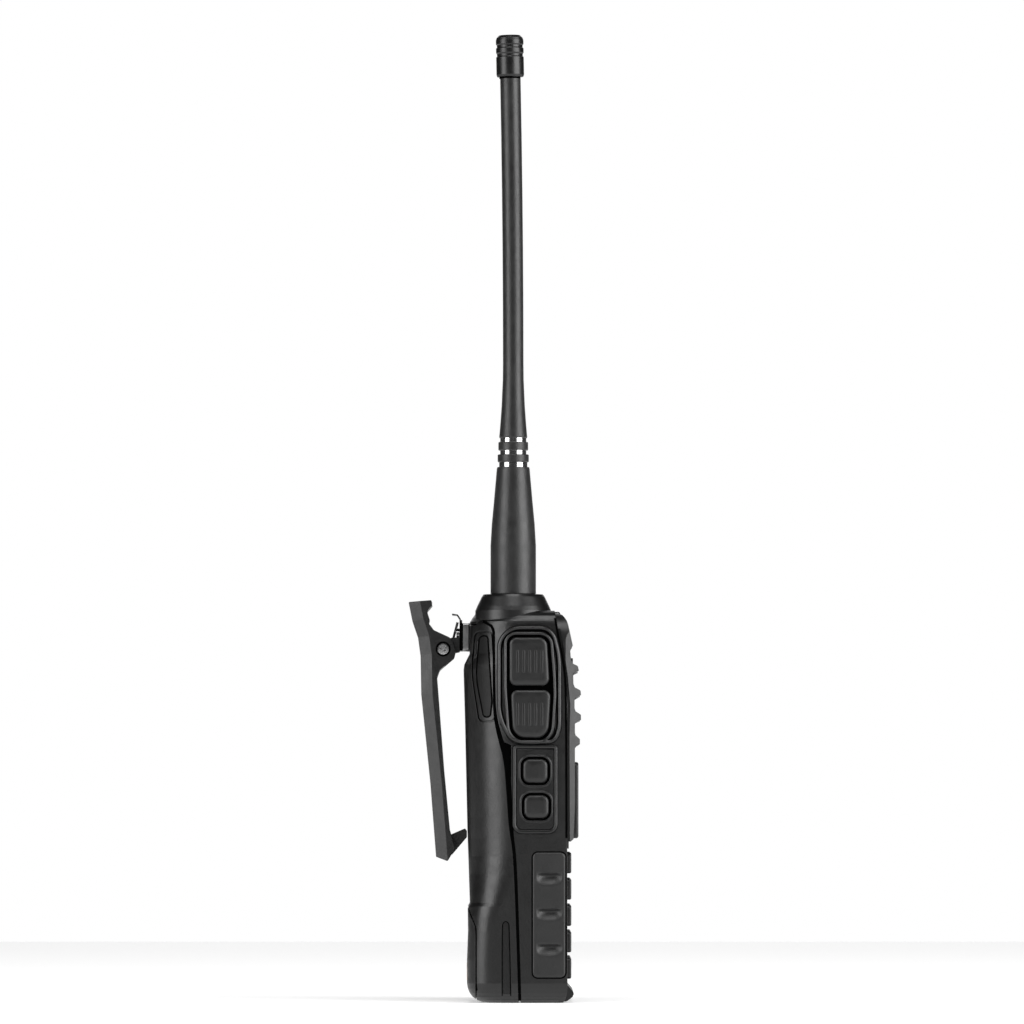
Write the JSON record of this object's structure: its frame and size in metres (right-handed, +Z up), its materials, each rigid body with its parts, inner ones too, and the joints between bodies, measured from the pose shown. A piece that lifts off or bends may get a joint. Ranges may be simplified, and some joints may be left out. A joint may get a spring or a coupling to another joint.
{
  "type": "handheld two-way radio",
  "caption": "Upright handheld two-way radio with a tall rubber antenna, paired talk keys on its side, a keypad front, a clip-on battery and a sprung belt clip.",
  "frame": {"origin": "centre of the flat foot that the radio stands on, in the plane of the foot", "axes": "+Z up along the antenna, -Y out of the keypad front, +Y out of the belt clip, -X out of the push-to-talk side"},
  "size_m": [0.058, 0.0485, 0.2727],
  "materials": {
    "case_plastic": "fine-grained charcoal moulding",
    "panel_plastic": "fine-textured charcoal moulding",
    "collar_plastic": "smooth black moulding",
    "knob_plastic": "satin black moulding",
    "clip_plastic": "fine-grained charcoal moulding",
    "latch_plastic": "fine-grained black moulding",
    "tip_plastic": "satin black cap",
    "front_key": "silicone rubber, satin",
    "side_key_rubber": "soft-touch rubber",
    "grip_rubber": "soft-touch rubber",
    "soft_rubber": "matte rubber",
    "antenna_rubber": "fine-grained rubber",
    "polished_metal": "polished",
    "clip_metal": "satin plated",
    "steel": "bright plated",
    "dark_metal": "blackened",
    "die_cast": "as cast",
    "gold_contact": "bright plated",
    "clear_window": "clear, smooth",
    "clear_lens": "frosted",
    "display": "grey liquid-crystal cell",
    "circuit_board": "green solder mask",
    "cell_wrap": "foil wrap"
  },
  "bodies": {
    "radio": {"housing": "case_plastic", "front_panel": "panel_plastic", "speaker_grille": "panel_plastic", "speaker": "dark_metal", "display_window": "clear_window", "display_module": "display", "main_board": "circuit_board", "keypad_mat": "soft_rubber", "chassis_plate": "die_cast", "case_screws": "steel", "battery_contacts": "gold_contact", "antenna_collar": "collar_plastic", "antenna_socket": "gold_contact", "volume_pot": "steel", "torch_lens": "clear_lens", "ptt_bezel": "case_plastic", "side_key_bezel": "case_plastic", "side_switches": "collar_plastic", "side_grips": "grip_rubber", "jack_sockets": "collar_plastic"},
    "battery": {"battery_shell": "case_plastic", "battery_lid": "panel_plastic", "battery_cells": "cell_wrap", "pack_contacts": "gold_contact", "clip_plate": "clip_metal", "clip_bracket": "dark_metal", "bracket_screws": "steel", "clip_pin": "steel", "clip_spring": "steel"},
    "belt_clip": {"clip_arm": "clip_plastic"},
    "latch_left": {"latch_left": "latch_plastic"},
    "latch_right": {"latch_right": "latch_plastic"},
    "antenna": {"antenna_sleeve": "antenna_rubber", "antenna_ferrule": "polished_metal", "antenna_post": "gold_contact", "antenna_ridges": "antenna_rubber", "antenna_whip": "antenna_rubber", "antenna_tip": "tip_plastic"},
    "knob": {"volume_knob": "knob_plastic"},
    "jack_flap": {"jack_cover": "soft_rubber"},
    "ptt_a": {"ptt_a": "side_key_rubber"},
    "ptt_b": {"ptt_b": "side_key_rubber"},
    "side_key_upper": {"side_key_upper": "side_key_rubber"},
    "side_key_lower": {"side_key_lower": "side_key_rubber"},
    "key_menu": {"key_menu": "front_key"},
    "key_up": {"key_up": "front_key"},
    "key_down": {"key_down": "front_key"},
    "key_exit": {"key_exit": "front_key"},
    "key_1": {"key_1": "front_key"},
    "key_2": {"key_2": "front_key"},
    "key_3": {"key_3": "front_key"},
    "key_4": {"key_4": "front_key"},
    "key_5": {"key_5": "front_key"},
    "key_6": {"key_6": "front_key"},
    "key_7": {"key_7": "front_key"},
    "key_8": {"key_8": "front_key"},
    "key_9": {"key_9": "front_key"},
    "key_star": {"key_star": "front_key"},
    "key_0": {"key_0": "front_key"},
    "key_hash": {"key_hash": "front_key"}
  },
  "joints": [
    {"name": "battery_tilt", "type": "hinge", "parent": "radio", "child": "battery", "pos_m": [0, 0.0135, 0.001], "axis": [-1, 0, 0], "range_deg": [0, 25]},
    {"name": "clip_open", "type": "hinge", "parent": "battery", "child": "belt_clip", "pos_m": [0, 0.022, 0.0995], "axis": [1, 0, 0], "range_deg": [0, 20], "stiffness_Nm_per_rad": 0.3, "springref_deg": -17.19},
    {"name": "latch_left_squeeze", "type": "slide", "parent": "battery", "child": "latch_left", "axis": [1, 0, 0], "range_m": [0, 0.0012], "stiffness_N_per_m": 900, "springref_m": -0.0006},
    {"name": "latch_right_squeeze", "type": "slide", "parent": "battery", "child": "latch_right", "axis": [-1, 0, 0], "range_m": [0, 0.0012], "stiffness_N_per_m": 900, "springref_m": -0.0006},
    {"name": "antenna_turn", "type": "hinge", "parent": "radio", "child": "antenna", "pos_m": [-0.0155, 0.0022, 0.115], "axis": [0, 0, 1], "range_deg": [0, 360]},
    {"name": "volume_turn", "type": "hinge", "parent": "radio", "child": "knob", "pos_m": [0.015, 0.002, 0.11], "axis": [0, 0, -1], "range_deg": [0, 270]},
    {"name": "jack_flap_open", "type": "hinge", "parent": "radio", "child": "jack_flap", "pos_m": [0.02848, -0.0075, 0.086], "axis": [0, 0, -1], "range_deg": [0, 110]},
    {"name": "ptt_a_press", "type": "slide", "parent": "radio", "child": "ptt_a", "axis": [1, 0, 0], "range_m": [0, 0.001], "stiffness_N_per_m": 1200, "springref_m": -0.0005},
    {"name": "ptt_b_press", "type": "slide", "parent": "radio", "child": "ptt_b", "axis": [1, 0, 0], "range_m": [0, 0.001], "stiffness_N_per_m": 1200, "springref_m": -0.0005},
    {"name": "side_key_upper_press", "type": "slide", "parent": "radio", "child": "side_key_upper", "axis": [1, 0, 0], "range_m": [0, 0.0008], "stiffness_N_per_m": 900, "springref_m": -0.0005},
    {"name": "side_key_lower_press", "type": "slide", "parent": "radio", "child": "side_key_lower", "axis": [1, 0, 0], "range_m": [0, 0.0008], "stiffness_N_per_m": 900, "springref_m": -0.0005},
    {"name": "key_menu_press", "type": "slide", "parent": "radio", "child": "key_menu", "axis": [0, 1, 0], "range_m": [0, 0.0008], "stiffness_N_per_m": 700, "springref_m": -0.0005},
    {"name": "key_up_press", "type": "slide", "parent": "radio", "child": "key_up", "axis": [0, 1, 0], "range_m": [0, 0.0008], "stiffness_N_per_m": 700, "springref_m": -0.0005},
    {"name": "key_down_press", "type": "slide", "parent": "radio", "child": "key_down", "axis": [0, 1, 0], "range_m": [0, 0.0008], "stiffness_N_per_m": 700, "springref_m": -0.0005},
    {"name": "key_exit_press", "type": "slide", "parent": "radio", "child": "key_exit", "axis": [0, 1, 0], "range_m": [0, 0.0008], "stiffness_N_per_m": 700, "springref_m": -0.0005},
    {"name": "key_1_press", "type": "slide", "parent": "radio", "child": "key_1", "axis": [0, 1, 0], "range_m": [0, 0.0008], "stiffness_N_per_m": 700, "springref_m": -0.0005},
    {"name": "key_2_press", "type": "slide", "parent": "radio", "child": "key_2", "axis": [0, 1, 0], "range_m": [0, 0.0008], "stiffness_N_per_m": 700, "springref_m": -0.0005},
    {"name": "key_3_press", "type": "slide", "parent": "radio", "child": "key_3", "axis": [0, 1, 0], "range_m": [0, 0.0008], "stiffness_N_per_m": 700, "springref_m": -0.0005},
    {"name": "key_4_press", "type": "slide", "parent": "radio", "child": "key_4", "axis": [0, 1, 0], "range_m": [0, 0.0008], "stiffness_N_per_m": 700, "springref_m": -0.0005},
    {"name": "key_5_press", "type": "slide", "parent": "radio", "child": "key_5", "axis": [0, 1, 0], "range_m": [0, 0.0008], "stiffness_N_per_m": 700, "springref_m": -0.0005},
    {"name": "key_6_press", "type": "slide", "parent": "radio", "child": "key_6", "axis": [0, 1, 0], "range_m": [0, 0.0008], "stiffness_N_per_m": 700, "springref_m": -0.0005},
    {"name": "key_7_press", "type": "slide", "parent": "radio", "child": "key_7", "axis": [0, 1, 0], "range_m": [0, 0.0008], "stiffness_N_per_m": 700, "springref_m": -0.0005},
    {"name": "key_8_press", "type": "slide", "parent": "radio", "child": "key_8", "axis": [0, 1, 0], "range_m": [0, 0.0008], "stiffness_N_per_m": 700, "springref_m": -0.0005},
    {"name": "key_9_press", "type": "slide", "parent": "radio", "child": "key_9", "axis": [0, 1, 0], "range_m": [0, 0.0008], "stiffness_N_per_m": 700, "springref_m": -0.0005},
    {"name": "key_star_press", "type": "slide", "parent": "radio", "child": "key_star", "axis": [0, 1, 0], "range_m": [0, 0.0008], "stiffness_N_per_m": 700, "springref_m": -0.0005},
    {"name": "key_0_press", "type": "slide", "parent": "radio", "child": "key_0", "axis": [0, 1, 0], "range_m": [0, 0.0008], "stiffness_N_per_m": 700, "springref_m": -0.0005},
    {"name": "key_hash_press", "type": "slide", "parent": "radio", "child": "key_hash", "axis": [0, 1, 0], "range_m": [0, 0.0008], "stiffness_N_per_m": 700, "springref_m": -0.0005}
  ]
}
